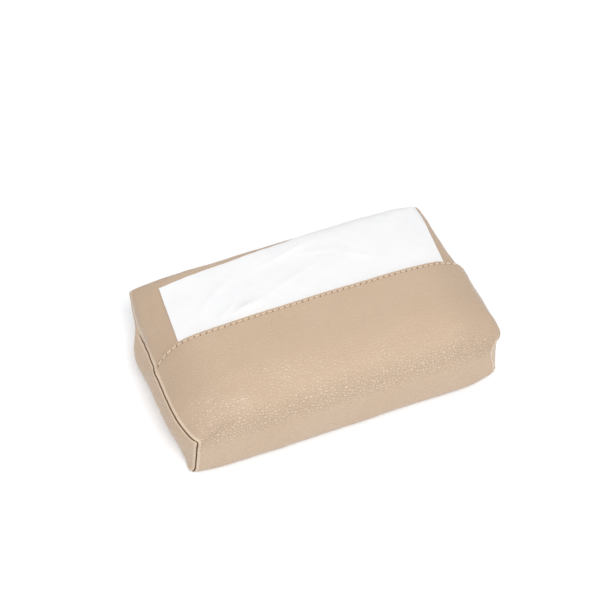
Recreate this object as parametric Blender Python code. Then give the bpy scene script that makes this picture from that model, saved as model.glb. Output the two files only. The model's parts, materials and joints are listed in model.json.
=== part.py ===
# A soft leather tissue box, at its real size in metres, +Z up, standing on Z = 0 with its middle at the origin.
# One leather strip runs round the front, base and back, and its two ends lap over the top as flaps.
# Two bulging end panels are sewn to it. A tissue comes out rearwards between the front flap and the rear flap.
import math

import bmesh
import bpy
from mathutils import Vector

mm = 0.001

# The tissues that the case is made for
tissue_width = 200.0 * mm  # along X
folded_depth = 104.0 * mm  # front to back
tissue_thickness = 0.3 * mm
tissue_gap = 0.45 * mm  # above and below the sheet in the slit
tissue_shift = 3.0 * mm  # that sheet lies this far to the right
fold_groove = 0.9 * mm  # between two folded sheets on the front and back of the stack
stack_headroom = 0.6 * mm  # under the flaps' lining
sheet_tail = 24.0 * mm  # hidden edge of the sheet in the slit, ahead of the middle
sheet_left_margin = 8.0 * mm  # from the rear fold of the case to the sheet's free edge, at its left corner
sheet_right_margin = 4.5 * mm  # and at its right corner

# Room round the tissues, out to the outside of the leather
end_room = 10.8 * mm  # at the corners, along X
end_bow = 6.4 * mm  # the end seams bow out this much more over the middle of the top
middle_room = 20.0 * mm  # front and back, halfway along
corner_room = 15.5 * mm  # front and back, at the end seams
middle_height = 53.0 * mm  # to the crest of the rear flap, halfway along
end_height = 39.5 * mm  # to the crest at the end seams
end_bulge = 8.8 * mm  # how far the middle of an end panel stands out of its corners

# Layers of the wall, from the outside in
leather_thickness = 1.2 * mm
lining_thickness = 0.6 * mm
layer_gap = 0.3 * mm
seam_gap = 0.4 * mm  # between the strip's ends and the end panels
root_gap = 0.5 * mm  # between the wall and the flap that folds off it
flap_end_clearance = 0.8 * mm  # the flaps' ends stop this far short of the strip's ends

# Flaps
front_flap_reach = 6.0 * mm  # free edge of the front flap, behind the middle of the top
front_corner_drop = 9.0 * mm  # how far that edge falls back at the end seams
rear_flap_reach = 9.0 * mm  # free edge of the rear flap, ahead of the middle of the top
lap_slope_start = 62.0 * mm  # the front flap starts to climb over the rear flap here, ahead of the middle
lap_slope_end = 30.0 * mm  # and is fully on top of it from here on
rim_step_length = 9.0 * mm  # the end panels' edge comes down over this length behind the front flap
edge_stitch_inset = 2.6 * mm
stitch_pitch = 4.4 * mm
thread_radius = 0.35 * mm
thread_arch = 0.12 * mm  # each stitch rises this far over the leather

# Tape that binds the sewn edges, inside the end seams
seam_tape_width = 5.5 * mm
seam_tape_thickness = 0.8 * mm
seam_tape_setback = 2.0 * mm  # from the strip's end
end_lining_inset = 4.5 * mm  # the end lining stops inside the tape

# Base insert
board_clearance = 0.8 * mm  # to the seam tape at each end
board_margin = 3.5 * mm  # past the tissues, at the front and back
board_thickness = 1.5 * mm
board_corner_radius = 12.0 * mm

weld_distance = 0.002 * mm

# How many facets and copies
length_facets = 18
wall_facets = 24
flap_facets = 11
tape_facets = 10
sheet_facets = 9
rim_facets = 36
dish_rings = 4
corner_facets = 4
fold_count = 11

# Half of the outline over the leather, from the middle of the base round the front to the crest,
# as shares of half the depth and of the height. The curve is drawn in towards these points.
middle_outline_shares = (
    (0.28, 0.0),
    (0.60, 0.0),
    (0.86, 0.0),
    (0.965, 0.0),
    (1.012, 0.12),
    (1.004, 0.32),
    (0.985, 0.53),
    (0.94, 0.765),
    (0.845, 0.99),
    (0.61, 0.975),
    (0.40, 1.0),
    (0.14, 1.0),
)
end_outline_shares = (
    (0.28, 0.0),
    (0.60, 0.0),
    (0.87, 0.0),
    (0.975, 0.0),
    (1.006, 0.10),
    (1.004, 0.30),
    (1.0, 0.55),
    (0.995, 0.83),
    (1.0, 1.0),
    (0.66, 1.0),
    (0.40, 1.0),
    (0.14, 1.0),
)
wall_point_count = 7  # points up to where the flaps fold off the walls
crown_power = 2.8  # how flat the top is along X
corner_power = 9.0  # how late the front flap's edge falls back
dish_power = 2.4  # how flat the middle of an end panel is
dish_round_share = 0.62  # how soon it bulges off its rim

half_length = tissue_width / 2 + end_room
flap_end_share = 1 - flap_end_clearance / half_length
middle_half_depth = folded_depth / 2 + middle_room
end_half_depth = folded_depth / 2 + corner_room
lining_depth = leather_thickness + layer_gap
lined_depth = lining_depth + lining_thickness
tape_depth = lined_depth + layer_gap
board_floor = lined_depth + layer_gap
stack_floor = board_floor + board_thickness + layer_gap

point_count = len(middle_outline_shares)
loop_count = 2 * point_count
crest = (loop_count - 1) / 2
front_root = wall_point_count
rear_root = loop_count - 1 - wall_point_count


def loop_of(shares, half_depth, height):
    """The points that draw the whole outline: up the front half, then its mirror image down the rear."""
    front = [(-a * half_depth, b * height) for a, b in shares]
    return front + [(-y, z) for y, z in reversed(front)]


middle_loop = loop_of(middle_outline_shares, middle_half_depth, middle_height)
end_loop = loop_of(end_outline_shares, end_half_depth, end_height)


def spline(loop, station):
    """A point of the smooth closed curve that the loop draws in, at a station counted in its points."""
    first = math.floor(station)
    t = station - first
    weights = ((1 - t) ** 3, 3 * t**3 - 6 * t**2 + 4, -3 * t**3 + 3 * t**2 + 3 * t + 1, t**3)
    y = z = 0.0
    for step, weight in enumerate(weights):
        point = loop[(first - 1 + step) % len(loop)]
        y += weight * point[0] / 6
        z += weight * point[1] / 6
    return y, z


def bow(station):
    """How far an end seam bows out past the corners there."""
    y, z = spline(end_loop, station)
    return end_bow * max(0.0, 1 - (y / end_half_depth) ** 2) * max(0.0, z / end_height)


def reach(station):
    """Half the length of the strip there."""
    return half_length + bow(station)


def at_share(share):
    """A line round the case that keeps its share of the half length."""
    return lambda station: share


def at_x(x):
    """A line round the case that keeps its x."""
    return lambda station: x / reach(station)


def outline(line, station):
    """(y, z) of the outside of the leather, on a line round the case."""
    fullness = math.sqrt(1.0 - min(1.0, abs(line(station))) ** crown_power)
    y0, z0 = spline(end_loop, station)
    y1, z1 = spline(middle_loop, station)
    return y0 + fullness * (y1 - y0), z0 + fullness * (z1 - z0)


def inside(line, station, depth):
    """A point that lies a depth inside the leather's outer surface."""
    step = 0.01
    y0, z0 = outline(line, station - step)
    y1, z1 = outline(line, station + step)
    run = math.hypot(y1 - y0, z1 - z0)
    y, z = outline(line, station)
    return line(station) * reach(station), y + depth * (z1 - z0) / run, z - depth * (y1 - y0) / run


def stations_per_length(line, station):
    """How many stations a metre of the outline takes there."""
    step = 0.01
    y0, z0 = outline(line, station - step)
    y1, z1 = outline(line, station + step)
    return 2 * step / math.hypot(y1 - y0, z1 - z0)


def station_at(line, y):
    """The station over the top of the case where the line is at this y."""
    low, high = front_root, rear_root
    for _ in range(40):
        middle = (low + high) / 2
        if outline(line, middle)[0] < y:
            low = middle
        else:
            high = middle
    return (low + high) / 2


# The flaps fold about the line along X that lies as far out and as high as any part of their roots
fold_depth = max(outline(at_share(share), rear_root)[0] for share in (0.0, 1.0))
fold_height = max(outline(at_share(share), rear_root)[1] for share in (0.0, 1.0))


def smooth(value):
    value = max(0.0, min(1.0, value))
    return value * value * (3 - 2 * value)


def lap_rise(y):
    """How far the front flap has climbed there, to clear the rear flap and the sheet on it."""
    full = lined_depth + 2 * tissue_gap + tissue_thickness
    return full * smooth((y + lap_slope_start) / (lap_slope_start - lap_slope_end))


def over_lap(line, station, depth):
    """A point of the front flap."""
    x, y, z = inside(line, station, depth)
    return x, y, z + lap_rise(outline(line, station)[0])


def end_rim(station, inset):
    """(y, z) on the edge of an end panel, which is sewn to the front flap as far as it goes."""
    y, z = inside(at_share(1.0), station, inset)[1:]
    lapped = 0.0 if z < end_height / 2 else 1 - smooth((y - front_edge(1.0)) / rim_step_length)
    return y, z + lap_rise(y) * lapped


def front_edge(share):
    return front_flap_reach - front_corner_drop * abs(share) ** corner_power


def rear_edge(share):
    return -rear_flap_reach


def between(first, last, facets):
    return [first + (last - first) * i / facets for i in range(facets + 1)]


def crowded(low, high, facets):
    """Shares of the half length that crowd towards the end seams, where the case curves most."""
    return [math.sin(angle) for angle in between(math.asin(low), math.asin(high), facets)]


def solid_from_grid(name, columns, rows, place, material, collection):
    """A grid laid out by place(column, row), with its meeting edges welded and its open ends closed."""
    shape = bmesh.new()
    bmesh.ops.create_grid(shape, x_segments=columns - 1, y_segments=rows - 1, size=1.0)
    for vertex in shape.verts:
        column = round((vertex.co.x + 1) / 2 * (columns - 1))
        row = round((vertex.co.y + 1) / 2 * (rows - 1))
        vertex.co = Vector(place(column, row))
    bmesh.ops.remove_doubles(shape, verts=shape.verts, dist=weld_distance)
    bmesh.ops.holes_fill(shape, edges=[edge for edge in shape.edges if edge.is_boundary])
    bmesh.ops.recalc_face_normals(shape, faces=shape.faces)
    mesh = bpy.data.meshes.new(name)
    shape.to_mesh(mesh)
    shape.free()
    mesh.shade_smooth()
    mesh.set_sharp_from_angle(angle=math.radians(40))
    mesh.materials.append(material)
    piece = bpy.data.objects.new(name, mesh)
    collection.objects.link(piece)
    return piece


def solid_through(name, sections, material, collection):
    """A solid through a row of closed sections."""

    def place(column, row):
        section = sections[column]
        return section[row % len(section)]

    return solid_from_grid(name, len(sections), len(sections[0]) + 1, place, material, collection)


def layer_section(line, stations, near, far, point):
    """Out along one side of a layer and back along the other."""
    outer = [point(line, station, near) for station in stations]
    inner = [point(line, station, far) for station in reversed(stations)]
    return outer + inner


def make_strip(name, near, far, material, collection):
    """Back wall, base and front wall, in one piece."""
    sections = []
    for line in map(at_share, crowded(-1.0, 1.0, length_facets)):
        low = rear_root + root_gap * stations_per_length(line, rear_root)
        high = loop_count + front_root - root_gap * stations_per_length(line, front_root)
        sections.append(layer_section(line, between(low, high, wall_facets), near, far, inside))
    return solid_through(name, sections, material, collection)


def make_flap(name, near, far, root, edge, point, material, collection):
    """One end of the strip, from its fold to its free edge."""
    sections = []
    for share in crowded(-flap_end_share, flap_end_share, length_facets):
        line = at_share(share)
        stations = between(root, station_at(line, edge(share)), flap_facets)
        sections.append(layer_section(line, stations, near, far, point))
    return solid_through(name, sections, material, collection)


def make_tape(name, side, low, high, point, material, collection):
    """Tape over the sewn edges, from one station to another along the inside of an end seam."""
    outer = side * (1 - seam_tape_setback / half_length)
    inner = outer - side * seam_tape_width / half_length
    far = tape_depth + seam_tape_thickness
    stations = between(low, high, tape_facets)
    sections = [layer_section(at_share(share), stations, tape_depth, far, point) for share in (inner, outer)]
    return solid_through(name, sections, material, collection)


def make_end(name, side, rim_x, inset, thickness, material, collection):
    """An end panel: the end outline drawn to a point in its middle, and bulging outwards."""
    centre = Vector((0.0, end_height / 2))
    out = between(0.0, 1.0, dish_rings)
    path = [(ratio, 0.0) for ratio in out] + [(ratio, thickness) for ratio in reversed(out)]

    def place(column, row):
        station = loop_count * (column % rim_facets) / rim_facets
        ratio, depth = path[row]
        rim = Vector(end_rim(station, inset)) - centre
        y, z = centre + rim * ratio
        bulge = end_bulge * (1 - ratio**dish_power) ** dish_round_share
        return (side * (rim_x + bow(station) * ratio**dish_power + bulge - depth), y, z)

    return solid_from_grid(name, rim_facets + 1, len(path), place, material, collection)


def make_board(name, material, collection):
    """Stiff insert that keeps the base flat."""
    bpy.ops.mesh.primitive_cube_add(size=1.0, location=(0.0, 0.0, board_floor + board_thickness / 2))
    board = bpy.context.object
    board.name = board.data.name = name
    board_half_length = half_length - seam_tape_setback - seam_tape_width - board_clearance
    board.scale = (2 * board_half_length, folded_depth + 2 * board_margin, board_thickness)
    bpy.ops.object.transform_apply(location=False, rotation=False, scale=True)
    shape = bmesh.new()
    shape.from_mesh(board.data)
    uprights = [edge for edge in shape.edges if edge.verts[0].co.xy == edge.verts[1].co.xy]
    bmesh.ops.bevel(
        shape, geom=uprights, offset=board_corner_radius, segments=corner_facets, affect="EDGES", profile=0.5
    )
    shape.to_mesh(board.data)
    shape.free()
    board.data.materials.append(material)
    for owner in list(board.users_collection):
        owner.objects.unlink(board)
    collection.objects.link(board)
    return board


def make_stack(name, material, collection):
    """The folded tissues, with a groove between the folds on the front and back."""
    half_depth = folded_depth / 2
    end_share = tissue_width / 2 / reach(crest)
    sections = []
    for share in crowded(-end_share, end_share, length_facets):
        x = share * reach(crest)
        line = at_x(x)
        stations = between(station_at(line, -half_depth), station_at(line, half_depth), flap_facets)
        top = [inside(line, station, lined_depth + stack_headroom) for station in stations]
        heights = between(stack_floor, top[0][2], 2 * fold_count)[:-1]
        side = [(half_depth - fold_groove * (i % 2), z) for i, z in enumerate(heights)]
        sections.append([(x, -y, z) for y, z in side] + top + [(x, y, z) for y, z in reversed(side)])
    return solid_through(name, sections, material, collection)


def make_sheet(name, material, collection):
    """The tissue in the slit: level under the front flap, then lying on the rear flap."""
    left_share = (tissue_shift - tissue_width / 2) / reach(crest)
    right_share = (tissue_shift + tissue_width / 2) / reach(crest)
    rear_fold = outline(at_share(1.0), rear_root)[0]
    sections = []
    for share in crowded(left_share, right_share, length_facets):
        x = share * reach(crest)
        line = at_x(x)
        along = (share - left_share) / (right_share - left_share)
        back = rear_fold - sheet_left_margin - along * (sheet_right_margin - sheet_left_margin)
        top = [outline(line, station) for station in between(crest, station_at(line, back), sheet_facets)]
        under = [(x, y, z + tissue_gap) for y, z in [(-sheet_tail, top[0][1]), *top]]
        sections.append(under + [(x, y, z + tissue_thickness) for x, y, z in reversed(under)])
    return solid_through(name, sections, material, collection)


def make_thread(name, edge, edge_side, point, material, collection):
    """A row of stitches on the leather, beside a flap's free edge."""
    end_share = flap_end_share * (1 - edge_stitch_inset / half_length)
    count = 4 * round(end_share * half_length / stitch_pitch)
    curve = bpy.data.curves.new(name, "CURVE")
    curve.dimensions = "3D"
    curve.bevel_depth = thread_radius
    curve.bevel_resolution = 0
    curve.use_fill_caps = True
    spline_line = curve.splines.new("POLY")
    spline_line.points.add(count)
    for i, share in enumerate(between(-end_share, end_share, count)):
        rise = thread_radius + layer_gap + thread_arch * (i % 2)
        line = at_share(share)
        station = station_at(line, edge(share) - edge_side * edge_stitch_inset)
        spline_line.points[i].co = (*point(line, station, -rise), 1.0)
    curve.materials.append(material)
    piece = bpy.data.objects.new(name, curve)
    collection.objects.link(piece)
    return piece


def carry(name, place, pieces, collection):
    """An empty that carries pieces, such as one on the line that a flap folds about."""
    holder = bpy.data.objects.new(name, None)
    holder.location = place
    holder.empty_display_size = leather_thickness
    collection.objects.link(holder)
    for piece in pieces:
        piece.parent = holder
        piece.matrix_parent_inverse = holder.matrix_basis.inverted()
    return holder


def make_materials():
    colors = {
        "beige_leather": ((0.62, 0.47, 0.345), 0.5),
        "suede_lining": ((0.52, 0.41, 0.31), 0.9),
        "seam_tape": ((0.42, 0.32, 0.23), 0.85),
        "tan_thread": ((0.42, 0.26, 0.14), 0.6),
        "grey_board": ((0.36, 0.34, 0.31), 0.85),
        "white_tissue": ((0.93, 0.93, 0.94), 0.95),
    }
    made = {}
    for name, (color, roughness) in colors.items():
        material = bpy.data.materials.new(name)
        material.use_nodes = True
        shader = material.node_tree.nodes["Principled BSDF"]
        shader.inputs["Base Color"].default_value = (*color, 1.0)
        shader.inputs["Roughness"].default_value = roughness
        shader.inputs["Metallic"].default_value = 0.0
        made[name] = material
    return made


def make_case(materials, collection):
    leather, lining = materials["beige_leather"], materials["suede_lining"]
    make_strip("case_leather", 0.0, leather_thickness, leather, collection)
    make_strip("case_lining", lining_depth, lined_depth, lining, collection)
    leather_x = half_length + seam_gap + leather_thickness
    lining_x = leather_x - lining_depth
    seam = at_share(1.0)
    low = rear_root + root_gap * stations_per_length(seam, rear_root)
    high = loop_count + front_root - root_gap * stations_per_length(seam, front_root)
    for side, word in ((-1, "left"), (1, "right")):
        make_end(f"{word}_end_leather", side, leather_x, 0.0, leather_thickness, leather, collection)
        make_end(f"{word}_end_lining", side, lining_x, end_lining_inset, lining_thickness, lining, collection)
        make_tape(f"{word}_case_seam_tape", side, low, high, inside, materials["seam_tape"], collection)
    make_board("base_board", materials["grey_board"], collection)
    make_stack("tissue_stack", materials["white_tissue"], collection)


def make_front_flap(materials, collection):
    leather, lining = materials["beige_leather"], materials["suede_lining"]
    pieces = [
        make_flap("front_flap_leather", 0.0, leather_thickness, front_root, front_edge, over_lap,
                  leather, collection),
        make_flap("front_flap_lining", lining_depth, lined_depth, front_root, front_edge, over_lap,
                  lining, collection),
        make_thread("front_flap_thread", front_edge, 1, over_lap, materials["tan_thread"], collection),
    ]
    last = station_at(at_share(flap_end_share), -rear_flap_reach - lined_depth)
    for side, word in ((-1, "left"), (1, "right")):
        name = f"front_flap_{word}_seam_tape"
        pieces.append(make_tape(name, side, front_root, last, over_lap, materials["seam_tape"], collection))
    return carry("front_flap_fold", (0.0, -fold_depth, fold_height), pieces, collection)


def make_rear_flap(materials, collection):
    leather, lining = materials["beige_leather"], materials["suede_lining"]
    pieces = [
        make_flap("rear_flap_leather", 0.0, leather_thickness, rear_root, rear_edge, inside, leather, collection),
        make_flap("rear_flap_lining", lining_depth, lined_depth, rear_root, rear_edge, inside, lining, collection),
    ]
    last = station_at(at_share(flap_end_share), -rear_flap_reach)
    for side, word in ((-1, "left"), (1, "right")):
        name = f"rear_flap_{word}_seam_tape"
        pieces.append(make_tape(name, side, rear_root, last, inside, materials["seam_tape"], collection))
    return carry("rear_flap_fold", (0.0, fold_depth, fold_height), pieces, collection)


def make_box():
    for thing in list(bpy.data.objects):
        bpy.data.objects.remove(thing, do_unlink=True)
    collection = bpy.data.collections.new("leather_tissue_box")
    bpy.context.scene.collection.children.link(collection)
    materials = make_materials()
    make_case(materials, collection)
    front_fold = make_front_flap(materials, collection)
    rear_fold = make_rear_flap(materials, collection)
    sheet = make_sheet("pulled_tissue", materials["white_tissue"], collection)
    carry("pull_start", (tissue_shift, -sheet_tail, middle_height), [sheet], collection)
    for fold in (front_fold, rear_fold):
        x, y, z = (round(value / mm, 2) for value in fold.location)
        print(f"{fold.name}: the flap folds about a line along X at y = {y} mm, z = {z} mm")


make_box()
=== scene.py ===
import json
import math

import bmesh
import bpy
import numpy as np
from mathutils import Matrix, Vector


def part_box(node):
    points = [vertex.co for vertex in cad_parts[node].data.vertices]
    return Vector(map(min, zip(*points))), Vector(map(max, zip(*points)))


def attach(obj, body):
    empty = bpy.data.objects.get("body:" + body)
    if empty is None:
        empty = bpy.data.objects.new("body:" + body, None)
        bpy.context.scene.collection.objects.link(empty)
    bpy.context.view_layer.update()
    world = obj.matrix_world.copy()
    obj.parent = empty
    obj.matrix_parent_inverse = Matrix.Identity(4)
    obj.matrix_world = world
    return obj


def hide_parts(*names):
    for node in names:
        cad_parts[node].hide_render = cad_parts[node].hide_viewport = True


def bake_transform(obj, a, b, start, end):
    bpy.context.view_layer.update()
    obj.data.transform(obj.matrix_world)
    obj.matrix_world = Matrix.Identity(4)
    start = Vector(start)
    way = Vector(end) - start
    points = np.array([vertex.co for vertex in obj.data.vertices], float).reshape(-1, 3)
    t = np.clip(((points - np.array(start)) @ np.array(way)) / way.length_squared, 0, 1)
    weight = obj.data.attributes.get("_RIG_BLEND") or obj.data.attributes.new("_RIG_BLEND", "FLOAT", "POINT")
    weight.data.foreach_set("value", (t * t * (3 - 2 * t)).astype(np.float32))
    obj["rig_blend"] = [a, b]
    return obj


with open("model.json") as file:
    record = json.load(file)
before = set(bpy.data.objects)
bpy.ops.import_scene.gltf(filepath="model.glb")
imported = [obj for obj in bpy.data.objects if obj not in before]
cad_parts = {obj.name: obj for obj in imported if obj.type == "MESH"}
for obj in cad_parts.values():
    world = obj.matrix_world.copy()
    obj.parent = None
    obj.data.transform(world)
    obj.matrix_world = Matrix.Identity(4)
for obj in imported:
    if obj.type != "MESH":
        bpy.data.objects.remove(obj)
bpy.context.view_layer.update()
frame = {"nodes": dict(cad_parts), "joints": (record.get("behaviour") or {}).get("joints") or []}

mm = 0.001
weldDistance = 0.002 * mm

# The outline of the case over the leather, the same as in the part
caseForm = {
    "halfLength": 110.8 * mm,
    "middleHalfDepth": 72 * mm,
    "endHalfDepth": 67.5 * mm,
    "middleHeight": 53 * mm,
    "endHeight": 39.5 * mm,
    "seamBow": 6.4 * mm,  # the end seams bow out over the middle of the top
    "cushionShare": 0.3,  # how much of the crown is one even curve
    "crownPower": 9.0,  # how late the rest of it falls to the seams
    "drapeFrom": {-1: 0.972, 1: 0.93},  # the strip's ends turn down over the end panels from here outwards
    "drapeFull": 0.12,  # how far they drop before the turn is fully round
    # The lower front is fuller near the right end: (share, station, their spreads, push)
    "fuller": (0.78, 4.4, 0.24, 1.9, 2 * mm),
    "fullerEase": 0.2,
    "flatUnder": 6 * mm,  # the creases fade out below this height
}
# Half of each outline, from the middle of the base round the front to the crest, as shares of
# half the depth and of the height
middleOutline = [
    (0.28, 0), (0.6, 0), (0.86, 0), (0.965, 0), (1.012, 0.12), (1.004, 0.32),
    (0.985, 0.51), (0.94, 0.72), (0.81, 0.955), (0.6, 0.99), (0.4, 1), (0.14, 1),
]
endOutline = [
    (0.28, 0), (0.6, 0), (0.87, 0), (0.975, 0), (1.006, 0.1), (1.004, 0.3),
    (1, 0.55), (0.995, 0.83), (1, 1), (0.66, 1), (0.4, 1), (0.14, 1),
]
rearShoulder = [(0.985, 0.53), (0.955, 0.79), (0.865, 1), (0.61, 0.98)]  # fuller than the front's
# How the left and the right end differ from an even case, each as (station round it, amount)
sideTables = {
    # share of the seam's height by which the strip's end is turned down over the end panel
    "drop": (
        [
            (11.5, 0), (12.2, 0.05), (12.9, 0.17), (13.5, 0.27), (14, 0.26), (14.4, 0.18), (14.75, 0.06),
            (15.1, 0),
        ],
        [(5, 0), (8, 0.1), (9, 0.16), (11.5, 0.18), (13, 0.2), (24, 0.2)],
    ),
    # height of the strip's end, as a share of the even case's
    "rise": (
        [
            (5.5, 1), (7.4, 0.96), (8.1, 0.96), (8.9, 1), (12.8, 1), (14, 1.02), (15, 1.07), (16, 1.05),
            (18, 1),
        ],
        [
            (5.5, 1), (7.2, 1.07), (8, 1.14), (8.8, 1.2), (10, 1.14), (11.5, 1.11), (14.5, 1.08),
            (16, 1.06), (18, 1),
        ],
    ),
    # how far the seam stands out of the even case's, in millimetres
    "drift": (
        [
            (1, 0), (1.6, 0.6), (2.3, 2.3), (3, 2.2), (3.7, 0.9), (4.3, 0.1), (5.5, -0.8), (7, -2.2),
            (7.8, -3.4), (8.1, -2.6), (8.4, -0.2), (8.7, 1.2), (9, 1.8), (9.4, 1.6), (10, 1.1), (10.6, 0.4),
            (11.3, 0.4), (11.48, -1), (12.9, -1), (13.3, -0.4), (13.7, 0.7), (14.4, 0.7), (14.7, 0.6),
            (15.1, 0.3), (15.6, -0.6), (16.4, -2.4), (18, -3.2), (19.5, -3), (21, -1.5), (23, 0),
        ],
        [
            (1, 0), (3, 1.6), (4.2, 2.6), (5.4, 0.8), (6.3, -2.4), (6.9, -3.4), (7.4, -3.2), (7.7, -1.6),
            (8, 0.3), (8.2, 2.1), (8.4, 4.5), (8.6, 4.3), (8.8, 3.1), (9, 2.2), (9.3, 1.4), (9.9, 0.4),
            (10.6, 0.1), (11.3, 0.2), (11.6, -1.2), (12.5, -1.6), (13.6, -0.6), (14.2, 1), (14.9, 2.6),
            (15.4, 1.4), (16.2, 0),
        ],
    ),
    # how dark the painted shade in the seam's crease is, where 1 is fully dark; where it is light the end
    # panel tucks in behind the strip
    "crease": (
        [(11, 1), (12.9, 1), (13.7, 0.5), (14.1, 0.1), (15.7, 0.1), (16.5, 1)],
        [(3, 1), (5, 0.7), (9, 0.7), (10.5, 1)],
    ),
}
tableEase = 0.12  # stations over which a table's corners are rounded
# The ends' top corners are crisper than the even case's: (station, y, z, share on the left, on the right)
cornerPulls = [(8, -67.5 * mm, 39.5 * mm, 0.5, 0.25), (15, 67.5 * mm, 39.5 * mm, 0.4, 0.5)]
cornerPullReach = 0.4

# Depths under the leather's outer face
layers = {
    "leather": 1.2 * mm,
    "liningNear": 1.5 * mm,
    "liningFar": 2.1 * mm,
    "tapeNear": 2.4 * mm,
    "tapeFar": 3.2 * mm,
}
flaps = {
    "frontReach": 6 * mm,
    "frontCornerDrop": 9 * mm,
    "cornerPower": 14,
    "rearReach": 9 * mm,
    # the front flap rises over the rear flap and the sheet on it, a little less at the ends
    "climbStart": -62 * mm,
    "climbEnd": -30 * mm,
    "climb": 3.3 * mm,
    "climbEase": 0.9 * mm,
    "climbStation": 6,
    "rimStep": 3 * mm,
    "hem": 8 * mm,
    "hemDepth": 2.1 * mm,
    "hemEase": 0.8 * mm,
    "bendStart": 6.3,
    "bendEnd": 8.6,
    "frontLiftPower": 3.2,
    "rearLiftPower": 8,
}
seamRoll = {"radius": 0.9 * mm, "steps": 5, "creaseAngle": -45}
# How much the grain stands up: elsewhere, at the front and rear bends, and how wide these are; the bends
# also get the painted highlights on the pebbles' tops and more painted shade in the furrows
grainRise = {"even": 0.5, "atBend": 0.7, "bends": (7.15, 15.75), "spread": 0.85}
# Painted shade: the flaps are a little darker towards their ends, where they curve down, between the front
# and rear bends
endShadePart = {"fromShare": 0.62, "overShare": 0.3, "front": 6.5, "rear": 16.5, "ease": 1.5}

loopCount = 24
crest = 11.5
baseMiddle = -0.5
probeShare = 0.004
probeStation = 0.02


def smooth(value):
    value = np.clip(value, 0, 1)
    return value * value * (3 - 2 * value)


def hump(off, width):
    return np.exp(-((off / width) ** 2))


def unit(vectors):
    return vectors / np.linalg.norm(vectors, axis=-1, keepdims=True)


def lengthAlong(line):
    return np.concatenate([[0], np.cumsum(np.linalg.norm(np.diff(line, axis=0), axis=1))])


def stacked(*parts):
    return np.stack(parts, axis=-1)


def along(table, station):
    # the table's value there, eased between its rows
    places, values = zip(*table)
    amount, early, late = (np.interp(station + step, places, values) for step in (0, -tableEase, tableEase))
    return (2 * amount + early + late) / 4


def onSide(label, share, station):
    left, right = sideTables[label]
    return np.where(share < 0, along(left, station), along(right, station))


def loopOf(frontShares, rearShares, halfDepth, height):
    front = [(-a * halfDepth, b * height) for a, b in frontShares]
    rear = [(a * halfDepth, b * height) for a, b in reversed(rearShares)]
    return np.array(front + rear)


rearMiddleOutline = middleOutline[:6] + rearShoulder + middleOutline[10:]
middleLoop = loopOf(middleOutline, rearMiddleOutline, caseForm["middleHalfDepth"], caseForm["middleHeight"])
endLoop = loopOf(endOutline, endOutline, caseForm["endHalfDepth"], caseForm["endHeight"])


def splinePoint(loop, station):
    # a smooth closed curve drawn in towards the loop's points
    first = np.floor(station).astype(int)
    t = station - first
    weights = ((1 - t) ** 3, 3 * t**3 - 6 * t**2 + 4, -3 * t**3 + 3 * t**2 + 3 * t + 1, t**3)
    total = sum(weights[step][..., None] * loop[(first - 1 + step) % loopCount] for step in range(4))
    return total / 6


def undulation(u, v, wavelength, seed, waves=7):
    # soft unevenness about 1 high, from a few crossing waves
    maker = np.random.default_rng(seed)
    total = 0.0
    for _ in range(waves):
        angle = maker.uniform(0, 2 * math.pi)
        stretch = maker.uniform(0.7, 1.5)
        phase = maker.uniform(0, 2 * math.pi)
        across = u * math.cos(angle) + v * math.sin(angle)
        total = total + np.sin(across * 2 * math.pi / (wavelength * stretch) + phase)
    return total / math.sqrt(waves)


def turnedLine(u, v, centreU, centreV, turn):
    # how far along and how far off a line turned by so many degrees
    cos, sin = math.cos(math.radians(turn)), math.sin(math.radians(turn))
    return (u - centreU) * cos + (v - centreV) * sin, (v - centreV) * cos - (u - centreU) * sin


# Soft folds of the leather in a flat plan: u along the case, v round it, in millimetres
foldPlan = {
    "uPerShare": 115,
    "vPerStation": 13,
    "waves": [(0.22 * mm, 34, 4), (0.06 * mm, 10, 9)],  # (height, wavelength, seed)
    "behind": (0.35, 1.6),  # one side of a fold is steeper: the dip behind it, and how far off that lies
    "seamEase": (6, 0.25),
    # (u, v, half length, half width, turn in degrees, height)
    "folds": [
        (-96, 96, 16, 3.5, 28, -0.5), (-82, 112, 22, 6, -20, 0.35), (-60, 84, 30, 7, 8, -0.4),
        (-18, 92, 34, 8, -6, 0.35), (30, 88, 30, 7, 10, -0.4), (66, 96, 24, 6, -14, 0.4),
        (96, 100, 15, 3.2, 40, -0.6), (104, 84, 12, 3, -35, -0.6), (-98, 101, 14, 2.2, 4, 0.7),
        (-98, 62, 14, 4, 60, -0.5), (-40, 60, 22, 8, 80, -0.45), (8, 66, 20, 8, 95, 0.4),
        (58, 62, 20, 7, 82, -0.5), (92, 66, 13, 4, 115, -0.6), (-92, 178, 20, 5, 65, -0.6),
        (-60, 172, 26, 8, 12, 0.35), (0, 180, 30, 8, -6, -0.3), (60, 176, 26, 7, 9, 0.4),
        (96, 186, 16, 4, 60, -0.6), (-40, 232, 26, 8, 84, -0.4), (36, 236, 26, 8, 97, 0.4),
        (-100, 150, 14, 3, -62, -0.45), (101, 150, 14, 3, 60, -0.45),
    ],
    # small gathers along the seams
    "pucker": 0.12 * mm,
    "puckerPitch": 8,
    "puckerFade": 4,
    "puckerSway": (1.5, 30, 21),  # (amount, wavelength, seed)
}


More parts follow.
